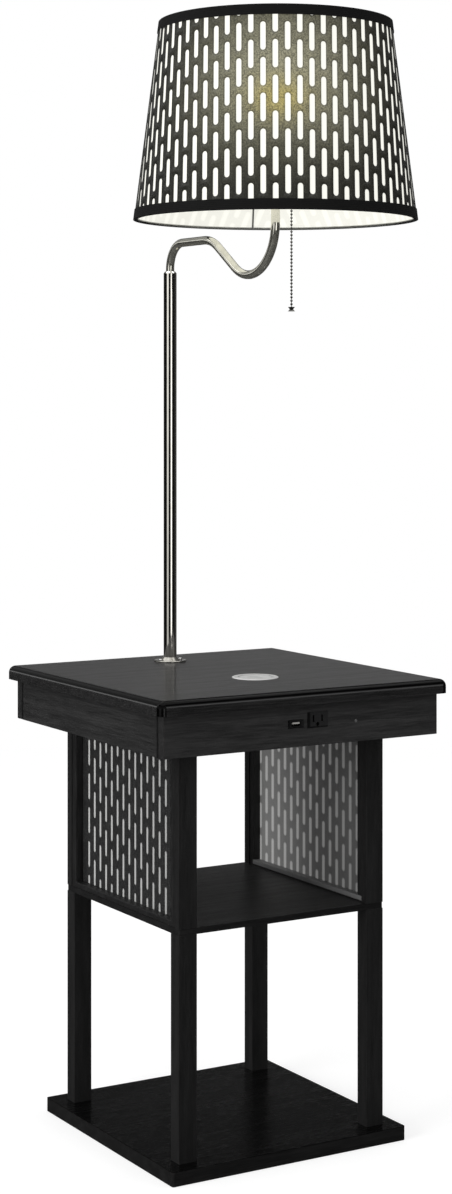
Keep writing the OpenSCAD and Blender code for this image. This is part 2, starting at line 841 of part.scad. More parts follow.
module pole_cap() {
  slope_z = cap_h - cap_slope_h;
  color(c_nickel) translate([0, pole_y, pole_top_z - cap_h]) difference() {
    union() {
      cylinder(h = slope_z, d = pole_d);
      translate([0, 0, slope_z - eps])
        cylinder(h = cap_slope_h + eps, d1 = pole_d, d2 = arm_d + 2 * cap_lip);
      translate([0, 0, -spigot_h])
        cylinder(h = spigot_h + eps, d = pole_in - 2 * fastener_gap);
    }
    translate([0, 0, -spigot_h - eps])
      cylinder(h = spigot_h + cap_h + 2 * eps, d = arm_d + 2 * swivel_gap);
  }
}

// ---------------------------------------------------------------------------------------
// The arm

// A straight stretch of the arm's tube between two points [y, z]. It laps over the bends
// at its ends by the two lengths given.
module tube_straight(a, b, lap_a, lap_b) {
  v = b - a;
  translate([0, a[0], a[1]]) rotate([atan2(-v[0], v[1]), 0, 0]) translate([0, 0, -lap_a])
    ring_shape(arm_d, arm_d - 2 * arm_wall, norm(v) + lap_a + lap_b);
}

// A bend of the arm's tube: centre [y, z], radius, first direction and turn in the plane
// x = 0, both from +Y towards +Z. Its wall is thinned a little, as bending does.
module tube_bend(centre, r, from, turn) {
  translate([0, centre[0], centre[1]]) rotate([90, 0, 90]) rotate(from)
    rotate_extrude(angle = turn) translate([r, 0]) difference() {
      circle(d = arm_d - bend_thinning);
      circle(d = arm_d - 2 * arm_wall + bend_thinning);
    }
}

module arm_tube() {
  color(c_nickel) translate([0, pole_y, bend_z]) union() {
    tube_straight([0, arm_foot_z - bend_z], [0, 0], 0, bend_lap);
    tube_bend(bend_c, bend_r, 0, 90);
    tube_straight(bend_c + [0, bend_r], dip_c1 + [0, dip_r], bend_lap, bend_lap);
    tube_bend(dip_c1, dip_r, 90, dip_angle);
    tube_straight(dip_p1, dip_p2, bend_lap, bend_lap);
    tube_bend(dip_c2, dip_r, 180, 90 + dip_angle);
    tube_straight(rise_p, rise_p + [0, arm_rise], bend_lap, 0);
  }
}

// The ring pressed on the arm below the cap keeps the arm in the pole.
module arm_ring() {
  color(c_steel) translate([0, pole_y, arm_foot_z + arm_tail - ring_h - swivel_end_gap])
    ring_shape(pole_in - 2 * ring_play, arm_d - 2 * ring_press, ring_h);
}

// ---------------------------------------------------------------------------------------
// Lamp socket, bulb and pull chain

module socket_cup() {
  rim = socket_d / 2 + cup_wall;
  foot = arm_d / 2 + cup_foot;
  cone_h = cup_h - cup_rim_h;
  color(c_nickel) translate([0, shade_y, cup_z]) difference() {
    union() {
      cylinder(h = cone_h + eps, r1 = foot, r2 = rim);
      translate([0, 0, cone_h]) cylinder(h = cup_rim_h, r = rim);
      translate([0, 0, outlet_boss_z - cup_z]) {
        translate([0, -outlet_boss_d / 2, 0]) cube([chain_x, outlet_boss_d, outlet_boss_h]);
        translate([chain_x, 0, 0]) cylinder(h = outlet_boss_h, d = outlet_boss_d);
      }
    }
    translate([0, 0, cup_floor])
      cylinder(h = cone_h - cup_floor + eps, r1 = foot, r2 = socket_d / 2);
    translate([0, 0, cone_h]) cylinder(h = cup_rim_h + eps, r = socket_d / 2);
    translate([0, 0, -eps]) cylinder(h = cup_floor + 2 * eps, d = arm_d + 2 * swivel_gap);
    translate([chain_x, 0, outlet_boss_z - cup_z - eps])
      cylinder(h = outlet_boss_h - outlet_boss_top, d = chain_bore);
  }
}

// The body seats on the cup's rim and its threaded neck goes through the fitter's hub.
module socket_body() {
  color(c_white) translate([0, shade_y, socket_z]) difference() {
    union() {
      translate([0, 0, -seat_h]) cylinder(h = seat_h + eps, d = socket_d - 2 * fastener_gap);
      cylinder(h = hub_z - socket_z, d = socket_d + 2 * seat_step);
      cylinder(h = socket_h, d = socket_d);
    }
    drill(socket_h - shell_depth, socket_h, shell_d);
  }
}

module socket_ring() {
  color(c_white) translate([0, shade_y, hub_z + hub_t])
    ring_shape(socket_d + 2 * socket_ring_w, socket_d + 2 * fastener_gap, socket_ring_h);
}

module bulb_base() {
  l = shell_depth - shell_foot - tip_h - glass_t;
  color(c_brass) translate([0, shade_y, bulb_z - shell_depth + shell_foot]) union() {
    cylinder(h = tip_h + eps, d1 = tip_d, d2 = shell_d - thread_pitch);
    translate([0, 0, tip_h]) cylinder(h = l, d = shell_d - 2 * thread_d);
    for (n = [1 : thread_count]) translate([0, 0, tip_h + n * thread_pitch])
      rotate_extrude() translate([(shell_d - thread_d) / 2 - thread_d / 2, 0])
        circle(d = thread_d, $fn = 16);
  }
}

module globe_shape(inset) {
  ball_z = bulb_h - bulb_d / 2;
  neck = shell_d - 2;
  union() {
    translate([0, 0, ball_z]) sphere(d = bulb_d - 2 * inset);
    translate([0, 0, -glass_t]) cylinder(h = ball_z - bulb_d / 8 + glass_t,
      d1 = neck - 2 * inset, d2 = 0.9 * bulb_d - 2 * inset);
  }
}

module bulb_globe() {
  color(c_white) translate([0, shade_y, bulb_z]) difference() {
    globe_shape(0);
    globe_shape(glass_t);
    translate([0, 0, -2 * glass_t]) cylinder(h = 3 * glass_t, d = shell_d - 6 * glass_t);
  }
}

module pull_chain() {
  l = bead_count * bead_pitch;
  color(c_steel) translate([chain_x, shade_y, chain_z]) union() {
    for (n = [0 : bead_count])
      translate([0, 0, -n * bead_pitch]) sphere(d = bead_d, $fn = 24);
    translate([0, 0, -l]) cylinder(h = l, d = wire_d, $fn = 16);
  }
}

module chain_bell() {
  z0 = chain_z - bead_count * bead_pitch - bead_d / 2 + bell_seat - bell_h;
  color(c_steel) translate([chain_x, shade_y, z0]) difference() {
    union() {
      cylinder(h = bell_h / 2, d1 = bell_d, d2 = bell_d / 2);
      translate([0, 0, bell_h / 2 - eps])
        cylinder(h = bell_h / 2 + eps, d1 = bell_d / 2, d2 = bell_d);
    }
    translate([0, 0, bell_h - bell_seat]) cylinder(h = bell_seat + eps, d = bell_bore);
  }
}

// ---------------------------------------------------------------------------------------
// Shade

function spider_dir(n) = let (a = spider_turn + n * 360 / spider_arms) [cos(a), sin(a), 0];
function spider_foot(n) = [0, shade_y, shade_z + edge_gap + ring_d / 2]
  + (shade_r(edge_gap + ring_d / 2) - ring_in) * spider_dir(n);
function spider_knee_at(n) = [0, shade_y, shade_z + spider_knee]
  + (shade_r(spider_knee) - ring_in - spider_knee_in) * spider_dir(n);
function spider_root(n) = [0, shade_y, hub_z + hub_t / 2]
  + (hub_d / 2 - spider_d) * spider_dir(n);

module shade_spider() {
  color(c_steel) union() {
    translate([0, shade_y, hub_z]) ring_shape(hub_d, socket_d + 2 * slip, hub_t);
    for (n = [0 : spider_arms - 1]) {
      rod(spider_root(n), spider_knee_at(n), spider_d);
      rod(spider_knee_at(n), spider_foot(n), spider_d);
      translate(spider_knee_at(n)) sphere(d = spider_d + knee_swell);
    }
  }
}

module wire_ring(h) {
  translate([0, shade_y, shade_z + h]) rotate_extrude($fn = 96)
    translate([shade_r(h) - ring_in, 0]) circle(d = ring_d, $fn = 24);
}

module shade_bottom_ring() {
  color(c_steel) wire_ring(edge_gap + ring_d / 2);
}

module shade_top_ring() {
  color(c_steel) wire_ring(shade_h - edge_gap - ring_d / 2);
}

module shade_liner() {
  color(c_white) shade_skin(edge_gap, shade_h - edge_gap, liner_in, shade_liner_t);
}

module shade_cover() {
  color(c_black) shade_skin(edge_gap, shade_h - edge_gap, cover_in, cover_t);
}

// The tape lies on the cover and turns under the wire ring.
module trim_bottom() {
  color(c_black) union() {
    shade_skin(0, trim_h, 0, trim_t);
    shade_skin(0, trim_t, trim_t - eps, ring_in + ring_d / 2 - trim_t + eps);
  }
}

// At the top it is also folded in behind the ring.
module trim_top() {
  color(c_black) union() {
    shade_skin(shade_h - trim_h, shade_h, 0, trim_t);
    shade_skin(shade_h - trim_t, shade_h, trim_t - eps, fold_in - trim_t + 2 * eps);
    shade_skin(shade_h - fold_h, shade_h, fold_in, trim_t);
  }
}

// ---------------------------------------------------------------------------------------

base_board();
leg_front_left();
leg_front_right();
leg_rear_left();
leg_rear_right();
base_screws();
shelf_board();
leg_studs();
post_front_left();
post_front_right();
post_rear_left();
post_rear_right();
post_studs();
floor_inserts();
panel_frame_left();
panel_frame_right();
panel_sheet_left();
panel_sheet_right();
panel_liner_left();
panel_liner_right();
apron_front();
apron_rear();
apron_left();
apron_right();
box_floor();
glue_blocks();
table_top();
charger_rim();
charger_disc();
charger_case();
charger_coil();
usb_module();
usb_tongue();
outlet_body();
outlet_contacts();
power_board();
indicator_led();
cord_gland();
pole_flange();
flange_screws();
pole_nipple();
nipple_nut();
pole_tube();
pole_cap();
arm_tube();
arm_ring();
socket_cup();
socket_body();
socket_ring();
bulb_base();
bulb_globe();
pull_chain();
chain_bell();
shade_spider();
shade_bottom_ring();
shade_top_ring();
shade_liner();
shade_cover();
trim_bottom();
trim_top();
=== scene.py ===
"""Looks of a floor lamp that stands on a small table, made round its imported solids.

Metres, +Z up. The front, with the sockets, faces -Y. The pole stands at the rear.
"""

import math

import bmesh
import bpy
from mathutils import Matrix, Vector


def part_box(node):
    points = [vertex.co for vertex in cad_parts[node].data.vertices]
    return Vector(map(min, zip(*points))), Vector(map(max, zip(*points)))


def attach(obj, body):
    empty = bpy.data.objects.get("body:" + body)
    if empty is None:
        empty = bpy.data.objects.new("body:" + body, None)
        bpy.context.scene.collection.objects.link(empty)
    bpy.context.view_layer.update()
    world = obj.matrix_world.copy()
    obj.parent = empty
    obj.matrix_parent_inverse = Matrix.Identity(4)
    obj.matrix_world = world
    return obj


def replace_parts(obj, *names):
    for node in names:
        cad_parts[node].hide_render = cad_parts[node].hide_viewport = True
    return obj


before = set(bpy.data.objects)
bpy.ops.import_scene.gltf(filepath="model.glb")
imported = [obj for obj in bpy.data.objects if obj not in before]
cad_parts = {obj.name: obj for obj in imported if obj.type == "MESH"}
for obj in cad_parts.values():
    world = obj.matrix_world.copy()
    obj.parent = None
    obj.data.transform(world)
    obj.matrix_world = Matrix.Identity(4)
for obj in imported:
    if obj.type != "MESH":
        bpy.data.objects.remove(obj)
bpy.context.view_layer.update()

bl_info = {
    "name": "Floor lamp with table",
    "version": (1, 0, 0),
    "blender": (4, 5, 0),
    "location": "3D View > Sidebar > Lamp",
    "description": "Finishes, slotted shade and stage of a floor lamp with a table",
    "category": "Add Mesh",
}

# The photograph's level camera: which way it looks, and where from. Rows and focal length are in pixels.
LOOK_AZIMUTH = math.radians(30.8185)
PHOTO_HEIGHT = 1194
FOCAL_LENGTH = 2273.77
HORIZON_ROW = 389.94
CAMERA_BACK = 2.9973
CAMERA_RIGHT = 0.00484
CAMERA_HEIGHT = 0.9687
SENSOR_HEIGHT = 36.0
LOOK = Vector((math.sin(LOOK_AZIMUTH), math.cos(LOOK_AZIMUTH), 0))
ACROSS = Vector((math.cos(LOOK_AZIMUTH), -math.sin(LOOK_AZIMUTH), 0))
FRONT = -LOOK

BLACK = (0.0, 0.0, 0.0)
# Painted shadow in the ports' recesses.
RECESS_SHADOW_BLACK = (0.0008, 0.0008, 0.0008)
WELD_DISTANCE = 0.00001

# How far the table's frame reaches to the front and to the rear.
FRAME_HALF_DEPTH = 0.14

# Light through the flat panels' slots: width, length, column pitch, pitch in a column, and the height
# of one slot's middle.
PANEL_SLOTS = (0.0062, 0.035, 0.016, 0.045, 0.3745)

# The bulb's glow through the cover: the height of its middle and its spread, and how far in front of
# the axis it is full. Then the hot spot in it, the glow on the liner, and the bulb's shaded neck.
GLOW_HEIGHT, GLOW_SPREAD, GLOW_REACH = 1.360, 0.084, 0.163
HOT_HEIGHT, HOT_SPREAD, HOT_WIDTH = 1.318, 0.026, 0.035
LINER_HEIGHT, LINER_SPREAD = 1.34, 0.13
BULB_NECK, BULB_BELLY = 1.295, 1.335

# Softboxes that only gloss mirrors, each named for what it lights. Strength; lowest and highest sine
# of the height, and softness; degrees to the right of the camera, half width, and softness.
SOFTBOXES = (
    (0.33, (0.095, 0.17, 0.02), (180, 40, 20)),  # flat of the table top
    (0.95, (0.10, 0.22, 0.03), (-118, 8, 4)),  # left edge of the table top
    (0.6, (0.12, 0.3, 0.05), (62, 12, 6)),  # front edge of the table top
    (0.3, (0.10, 0.25, 0.02), (-30, 70, 10)),  # bend of the arm
    (2.3, (0.42, 0.80, 0.06), (-102, 12, 6)),  # slope of the arm
    (0.06, (0.3, 0.6, 0.1), (-150, 20, 15)),  # level run of the arm
)


# -----------------------------------------------------------------------------------------
# Shader maths


class Value:
    """The output of a shader node, which can be used in sums."""

    def __init__(self, finish, socket):
        self.finish = finish
        self.socket = socket

    def math(self, operation, *values):
        return self.finish.node("ShaderNodeMath", {"operation": operation}, dict(enumerate(values)))

    def __add__(self, other):
        return self.math("ADD", self, other)

    __radd__ = __add__

    def __sub__(self, other):
        return self.math("SUBTRACT", self, other)

    def __rsub__(self, other):
        return self.math("SUBTRACT", other, self)

    def __mul__(self, other):
        return self.math("MULTIPLY", self, other)

    __rmul__ = __mul__

    def __truediv__(self, other):
        return self.math("DIVIDE", self, other)

    def __pow__(self, other):
        return self.math("POWER", self, other)

    def __neg__(self):
        return self.math("MULTIPLY", self, -1.0)

    def __abs__(self):
        return self.math("ABSOLUTE", self)

    def at_least(self, other):
        return self.math("MAXIMUM", self, other)

    def at_most(self, other):
        return self.math("MINIMUM", self, other)

    def wrap(self, low, high):
        return self.math("WRAP", self, high, low)

    def floor(self):
        return self.math("FLOOR", self)

    def root(self):
        return self.math("SQRT", self)

    def sine(self):
        return self.math("SINE", self)

    def cosine(self):
        return self.math("COSINE", self)

    def bell(self):
        """Bell curve of a distance in widths."""
        return self.math("EXPONENT", -(self * self))

    def ramp(self, low, high, out_low=0.0, out_high=1.0):
        """Smooth step from out_low below low to out_high above high."""
        return self.finish.node(
            "ShaderNodeMapRange",
            {"interpolation_type": "SMOOTHSTEP"},
            {0: self, 1: low, 2: high, 3: out_low, 4: out_high},
        )


class Shading:
    """A node tree of a material or of the world."""

    def __init__(self, tree):
        self.tree = tree

    def feed(self, socket, value):
        if isinstance(value, Value):
            self.tree.links.new(value.socket, socket)
        elif socket.type == "RGBA" and len(value) == 3:
            socket.default_value = (*value, 1.0)
        else:
            socket.default_value = value

    def node(self, kind, settings=None, sockets=None, out=0):
        """A node of that kind with its settings, then the values or links of its sockets."""
        made = self.tree.nodes.new(kind)
        for key, value in (settings or {}).items():
            setattr(made, key, value)
        for key, value in (sockets or {}).items():
            self.feed(made.inputs[key], value)
        return Value(self, made.outputs[out])

    def place(self):
        """The point on the object, in metres."""
        return self.node("ShaderNodeTexCoord", out=3)

    def axes(self):
        """The three coordinates of the point."""
        place = self.place()
        return [self.node("ShaderNodeSeparateXYZ", None, {0: place}, out=i) for i in range(3)]

    def along(self, first, second, third):
        """The point, counted in these repeats a metre along X, Y and Z."""
        repeats = (first, second, third)
        return self.node("ShaderNodeVectorMath", {"operation": "MULTIPLY"}, {0: self.place(), 1: repeats})

    def noise(self, point, detail=2.0, roughness=0.5, distortion=0.0):
        """Noise with one grain to each repeat of the point."""
        sockets = {"Vector": point, "Scale": 1.0, "Detail": detail, "Roughness": roughness}
        return self.node("ShaderNodeTexNoise", None, {**sockets, "Distortion": distortion})

    def mix(self, factor, first, second):
        """Blend of two colours."""
        return self.node("ShaderNodeMix", {"data_type": "RGBA"}, {0: factor, 6: first, 7: second}, out=2)


class Finish(Shading):
    """One procedural material. Values given when it is made are constant all over the surface."""

    def __init__(self, name, **constants):
        self.material = bpy.data.materials.new(name)
        self.material.use_nodes = True
        super().__init__(self.material.node_tree)
        self.shader = self.tree.nodes["Principled BSDF"]
        self.shade(**constants)

    def bump(self, height, distance, strength=1.0):
        sockets = {"Height": height, "Distance": distance, "Strength": strength}
        self.shade(Normal=self.node("ShaderNodeBump", None, sockets))

    def shade(self, **varying):
        for socket, value in varying.items():
            self.feed(self.shader.inputs[socket.replace("_", " ")], value)


# -----------------------------------------------------------------------------------------
# Sizes and colours that a user would change


def colour(name, text, default):
    return bpy.props.FloatVectorProperty(
        name=name, description=text, default=default, subtype="COLOR", size=3, min=0.0, max=1.0
    )


def length(name, text, default):
    return bpy.props.FloatProperty(name=name, description=text, default=default, unit="LENGTH", min=0.0)


def share(name, text, default, high=1.0):
    return bpy.props.FloatProperty(name=name, description=text, default=default, min=0.0, max=high)


class LampFinishes(bpy.types.PropertyGroup):
    """Colours and gloss of the lamp's surfaces."""

    laminate: colour("Laminate", "Black of the boards", (0.0095, 0.0094, 0.0095))
    laminate_light: colour("Laminate grain", "Lighter streaks of the boards", (0.0260, 0.0257, 0.0257))
    # Painted light and shade: front, legs, shelf and base scale the one laminate lighter or darker for each
    # group of boards, standing in for how the lamps light them.
    front: share("Front", "Lightness of the box's front and rear, compared with its sides", 1.3, 2.0)
    legs: share("Legs", "Lightness of the legs and posts, compared with the box's sides", 0.55)
    shelf: share("Shelf", "Lightness of the shelf, compared with the box's sides", 0.5)
    base: share("Base", "Lightness of the base board, compared with the box's sides", 0.6)
    laminate_rough: share("Laminate roughness", "Roughness of the boards", 0.42)
    top_rough: share("Top roughness", "Roughness of the table top", 0.36)
    edge_round: length("Edge rounding", "Width of the bevel on the boards' edges", 0.0007)
    nickel: colour("Nickel", "Colour of the plated pole", (0.72, 0.70, 0.64))
    nickel_rough: share("Nickel roughness", "Roughness of the pole", 0.045)
    arm_metal: colour("Arm", "Colour of the plated arm", (0.76, 0.745, 0.655))
    arm_rough: share("Arm roughness", "Roughness of the arm", 0.08)
    plastic: colour("Black plastic", "Colour of the sockets' faces", (0.006, 0.006, 0.0062))
    ivory: colour("White plastic", "Colour of the white plastic", (0.72, 0.71, 0.67))
    pad_silver: colour("Pad", "Silver paint of the charging pad", (0.82, 0.82, 0.81))


class ShadeLooks(bpy.types.PropertyGroup):
    """The shade's slots and its glow."""

    slot_width: length("Slot width", "Width of one slot of the cover", 0.0068)
    slot_length: length("Slot length", "Length of one slot of the cover", 0.0354)
    slot_pitch: length("Column pitch", "Distance from column to column", 0.01490)
    slot_turn: bpy.props.FloatProperty(
        name="Column shift",
        description="Shift of the front column, counted round the cover",
        default=-0.0036,
        unit="LENGTH",
    )
    slot_rise: length("Slot pitch", "Distance from slot to slot in a column", 0.0440)
    slot_height: length("Slot height", "Height of one slot's middle in the front column", 1.2858)
    thickness: length("Cover thickness", "Thickness of the cover", 0.0006)
    cover: colour("Cover", "Black of the cover", (0.0050, 0.0052, 0.0046))
    glint: colour("Glints", "Fine light specks in the cover", (0.034, 0.035, 0.029))
    glow: colour("Glow", "Colour of the bulb's light through the cover", (0.355, 0.340, 0.235))
    hot: colour("Glow beside the bulb", "Colour of the glow where the bulb is nearest", (0.50, 0.42, 0.15))
    liner: colour("Liner", "Lit white liner", (0.87, 0.867, 0.80))
    bulb: colour("Bulb", "Lit bulb", (1.0, 0.93, 0.78))


class StageLooks(bpy.types.PropertyGroup):
    """Floor, the world's even light, and the lamps."""

    floor: colour("Floor", "Colour of the floor", (0.50, 0.50, 0.50))
    sky: share("Sky", "Strength of the even light from all round", 0.62, 4.0)
    key: share("Key light", "Power of the soft lamp low at the left", 100.0, 500.0)
    fill: share("Fill light", "Power of the soft lamp at the right", 14.0, 500.0)


# -----------------------------------------------------------------------------------------
# Finishes


def laminate(name, grain, dark, light, rough, bump=0.00012, seams=(), end=0.0, level=0.0, specular=0.4):
    """Wood-grain laminate with its streaks along the axis grain.

    seams are the places of joints along Y, end is where the box's front ends along X, and level is
    the height of a board's top face, which is then smoother and darker than its edges, the darker
    top being painted shade.
    """
    made = Finish(name, Specular_IOR_Level=specular)
    stretch = [1.0, 1.0, 1.0]
    stretch[grain] = 0.045
    fine = made.noise(made.along(*[620 * s for s in stretch]), detail=3.0, roughness=0.6)
    band = made.noise(made.along(*[95 * s for s in stretch]), detail=4.0, roughness=0.6, distortion=0.7)
    cloud = made.noise(made.along(9, 9, 9))
    pores = made.noise(made.along(*[1500 * s for s in stretch]), detail=1.0).ramp(0.60, 0.72)
    streak = (fine.ramp(0.36, 0.66) * 0.5 + band.ramp(0.38, 0.66) * 0.5) * (0.7 + 0.6 * cloud)
    tone = streak * (1 - 0.6 * pores)
    base = made.mix(tone, dark, light)
    x, y, z = made.axes()
    for seam in seams:
        base = made.mix(((y - seam) / 0.0022).bell(), base, tuple(c * 0.08 for c in dark))
    if end:
        base = made.mix(abs(x).ramp(end - 0.0006, end - 0.0003) * 0.3, base, BLACK)
    # Painted shade: a board's top face darkened to a fifth of its colour.
    if level:
        flat = z.ramp(level - 0.0010, level - 0.0004)
        base = made.mix(0.8 * flat, base, BLACK)
        rough = rough - 0.2 * flat
    made.shade(Base_Color=base, Roughness=rough + 0.10 * streak + 0.12 * pores - 0.05 * cloud)
    made.bump(streak * 0.5 - pores * 0.8, bump)
    return made.material


def top_laminate(looks):
    """The table top: satin and lacquered on the flat, glossier round its edge, where painted shade darkens
    the upper part of the rounding and the corners.
    """
    made = Finish("laminate_top", Specular_IOR_Level=0.4, Coat_Roughness=0.05)
    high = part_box("table_top")[1]
    x, y, z = made.axes()
    flat = z.ramp(high.z - 0.0006, high.z - 0.0001)
    # Painted shade: over darkens the upper part of the edge's rounding and the corners, made metallic in that
    # dark colour.
    near_side = abs(x).ramp(high.x - 0.0095, high.x - 0.0080)
    near_front = abs(y).ramp(high.y - 0.0095, high.y - 0.0080)
    corner = 0.85 * near_side * near_front
    over = z.ramp(high.z - 0.0074, high.z - 0.0050).at_least(corner) * (1 - flat)
    fine = made.noise(made.along(30, 700, 700), detail=3.0, roughness=0.6).ramp(0.36, 0.66)
    band = made.noise(made.along(4, 95, 95), detail=4.0, roughness=0.6, distortion=0.7).ramp(0.38, 0.66)
    grain = 0.6 * fine + 0.4 * band
    base = made.mix(grain * (1 - 0.8 * over), looks.laminate, looks.laminate_light)
    edge_rough = 0.17
    made.shade(
        Base_Color=made.mix(0.55 * over, base, BLACK),
        Metallic=over,
        Roughness=flat * (looks.top_rough - edge_rough + 0.16 * grain) + edge_rough,
        Coat_Weight=0.15 * flat + 0.9 * (1 - flat) * (1 - over),
    )
    made.bump(grain, 0.00006)
    return made.material


def metal(name, tint, rough, along=2, tarnish=0.06, brush=0.25, metallic=1.0):
    """Plated or drawn metal with faint brush marks that run along one axis."""
    made = Finish(name, Metallic=metallic)
    stretch = [1.0, 1.0, 1.0]
    stretch[along] = 0.02
    marks = made.noise(made.along(*[2600 * s for s in stretch]))
    cloud = made.noise(made.along(60, 60, 60), detail=3.0)
    worn = tuple(c * (1 - tarnish * 4) for c in tint)
    made.shade(
        Base_Color=made.mix(cloud.ramp(0.35, 0.8), tint, worn),
        Roughness=rough + 0.10 * (marks - 0.5) + 0.05 * cloud,
    )
    made.bump(marks, 0.000012, brush)
    return made.material


def plastic(name, tint, rough):
    """Moulded plastic with a fine spark-eroded grain."""
    made = Finish(name)
    pits = made.noise(made.along(1800, 1800, 1800))
    cloud = made.noise(made.along(40, 40, 40))
    pale = tuple(min(1.0, c * 1.25 + 0.002) for c in tint)
    made.shade(
        Base_Color=made.mix(cloud * 0.6 + pits * 0.4, tint, pale),
        Roughness=rough + 0.12 * (pits - 0.5) + 0.06 * cloud,
    )
    made.bump(pits, 0.00003, 0.5)
    return made.material


def port_face(name, node, face, left, foot):
    """Black plastic face of a port, with painted shadow of its recess along its left and lower edges, which
    are deepest black.

    left and foot are how wide these edges are, counted from the corner of the node's box.
    """
    made = Finish(name, Specular_IOR_Level=0.3)
    x, _, z = made.axes()
    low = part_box(node)[0]
    pits = made.noise(made.along(1800, 1800, 1800))
    # Painted shadow of the port's recess: the rim mask darkens the left and lower edges to deepest black.
    rim = x.ramp(low.x + left, low.x + left + 0.0006, 1.0, 0.0)
    rim = rim.at_least(z.ramp(low.z + foot, low.z + foot + 0.0005, 1.0, 0.0))
    made.shade(Base_Color=made.mix(rim, face, RECESS_SHADOW_BLACK), Roughness=0.34 + 0.1 * pits + 0.3 * rim)
    made.bump(pits, 0.00003, 0.4)
    return made.material


def slot_mask(made, across, up, width, slot, pitch, rise, start, soft):
    """1 inside the slots of a flat pattern, whose columns are alternately half a step up."""
    column = (across / pitch + 0.5).floor()
    odd = column.math("PINGPONG", column, 1.0)
    x = abs(across - column * pitch)
    y = abs((up - start - odd * (rise / 2)).wrap(-rise / 2, rise / 2))
    y = (y - (slot - width) / 2).at_least(0.0)
    return (x * x + y * y).root().ramp(width / 2 - soft, width / 2 + soft, 1.0, 0.0)


def speckled(name, dark, light, dots, threshold):
    """Black sheet with fine light specks, dots to a metre, where noise is above the threshold."""
    made = Finish(name, Specular_IOR_Level=0.3)
    specks = made.noise(made.along(dots, dots, dots), roughness=0.7)
    cloud = made.noise(made.along(45, 45, 45))
    specks = specks.ramp(threshold - 0.1, threshold + 0.12)
    made.shade(Base_Color=made.mix(specks * (0.5 + cloud), dark, light), Roughness=0.55 - 0.2 * specks)
    made.bump(specks, 0.00006, 0.6)
    return made


def frame_finish(looks):
    """Laminate of the panels' frames in the legs' darker tone, painted shade, with painted light of the
    liner's haze over the inside of the lower rail.
    """
    dark, light = [tuple(c * looks.legs for c in tint) for tint in (looks.laminate, looks.laminate_light)]
    made = Finish("laminate_frames", Specular_IOR_Level=0.4)
    x, y, z = made.axes()
    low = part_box("panel_frame_right")[0]
    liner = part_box("panel_liner_right")[1]
    fine = made.noise(made.along(620, 620, 28), detail=3.0, roughness=0.6).ramp(0.36, 0.66)
    # Painted light: grey on the inside of the lower rail, where the liner's light falls, brighter towards the
    # rear.
    haze = abs(x).ramp(liner.x - 0.0002, liner.x, 1.0, 0.0) * z.ramp(low.z + 0.0072, low.z + 0.0076, 1.0, 0.0)
    haze = haze * z.ramp(low.z + 0.0008, low.z + 0.0022) * y.ramp(liner.y - 0.002, liner.y, 1.0, 0.0)
    haze = haze * (0.45 + 0.55 * y.ramp(-FRAME_HALF_DEPTH, FRAME_HALF_DEPTH))
    made.shade(
        Base_Color=made.mix(haze, made.mix(fine, dark, light), (0.27, 0.27, 0.27)),
        Roughness=looks.laminate_rough + 0.1 * fine,
    )
    made.bump(fine, 0.00008)
    return made.material


def panel_liner():
    """Light liner behind a slotted panel, which the slots' light comes through on the inside, painted into
    its colour and glow: lighter behind the slots on both faces, brighter towards the rear.
    """
    made = Finish("panel_liner", Roughness=0.5, Specular_IOR_Level=0.3, Emission_Strength=1.0)
    x, y, z = made.axes()
    slots = slot_mask(made, y, z, *PANEL_SLOTS, 0.0013)
    grain = made.noise(made.along(500, 500, 500), detail=3.0)
    rear = y.ramp(-FRAME_HALF_DEPTH, FRAME_HALF_DEPTH)
    low = z.ramp(0.50, 0.32)
    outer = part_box("panel_liner_right")[1].x
    inside = abs(x).ramp(outer - 0.0004, outer, 1.0, 0.0)
    # Painted light: the colour and glow are lighter behind the slots, on both faces, and brighter towards the
    # rear and lower down.
    haze = 0.09 + 0.08 * rear + 0.03 * grain
    lit = (0.22 + 0.12 * rear) * inside + (0.34 + 0.10 * rear) * (1 - inside)
    level = haze + slots * (lit - haze)
    glow = (0.085 + 0.03 * low) * rear * rear + slots * (0.045 + 0.13 * rear)
    glow = inside * glow * (0.75 + 0.5 * grain)
    made.shade(
        Base_Color=made.mix(level, BLACK, (1.0, 1.0, 0.985)),
        Emission_Color=made.mix(glow, BLACK, (1.0, 0.995, 0.98)),
    )
    made.bump(grain, 0.00004, 0.4)
    return made.material


def shade_cone():
    """The cover's cone: its axis, lower and upper radius, lean and the height of its tip."""
    low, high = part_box("shade_cover")
    middle = Vector(((low.x + high.x) / 2, (low.y + high.y) / 2, 0))
    rim = [v.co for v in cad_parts["shade_cover"].data.vertices if v.co.z > high.z - 0.0005]
    radius = (high.x - low.x) / 2
    top_radius = max(math.hypot(c.x - middle.x, c.y - middle.y) for c in rim)
    taper = (radius - top_radius) / (high.z - low.z)
    return middle, radius, top_radius, math.atan(taper), low.z + radius / taper


def shade_slots(made, looks, grow, soft):
    """1 over the cover's slots, made larger by grow, on any piece of the shade."""
    middle, _, _, lean, tip = shade_cone()
    x, y, z = made.axes()
    across = x * ACROSS.x + y * ACROSS.y - middle.dot(ACROSS)
    ahead = x * FRONT.x + y * FRONT.y - middle.dot(FRONT)
    turn = across.math("ARCTAN2", across, ahead) * math.sin(lean)
    rho = (tip - z) / math.cos(lean)
    start = (tip - looks.slot_height) / math.cos(lean)
    sizes = (looks.slot_width + grow, looks.slot_length + grow, looks.slot_pitch, looks.slot_rise)
    return slot_mask(made, rho * turn.sine() - looks.slot_turn, rho * turn.cosine(), *sizes, start, soft)


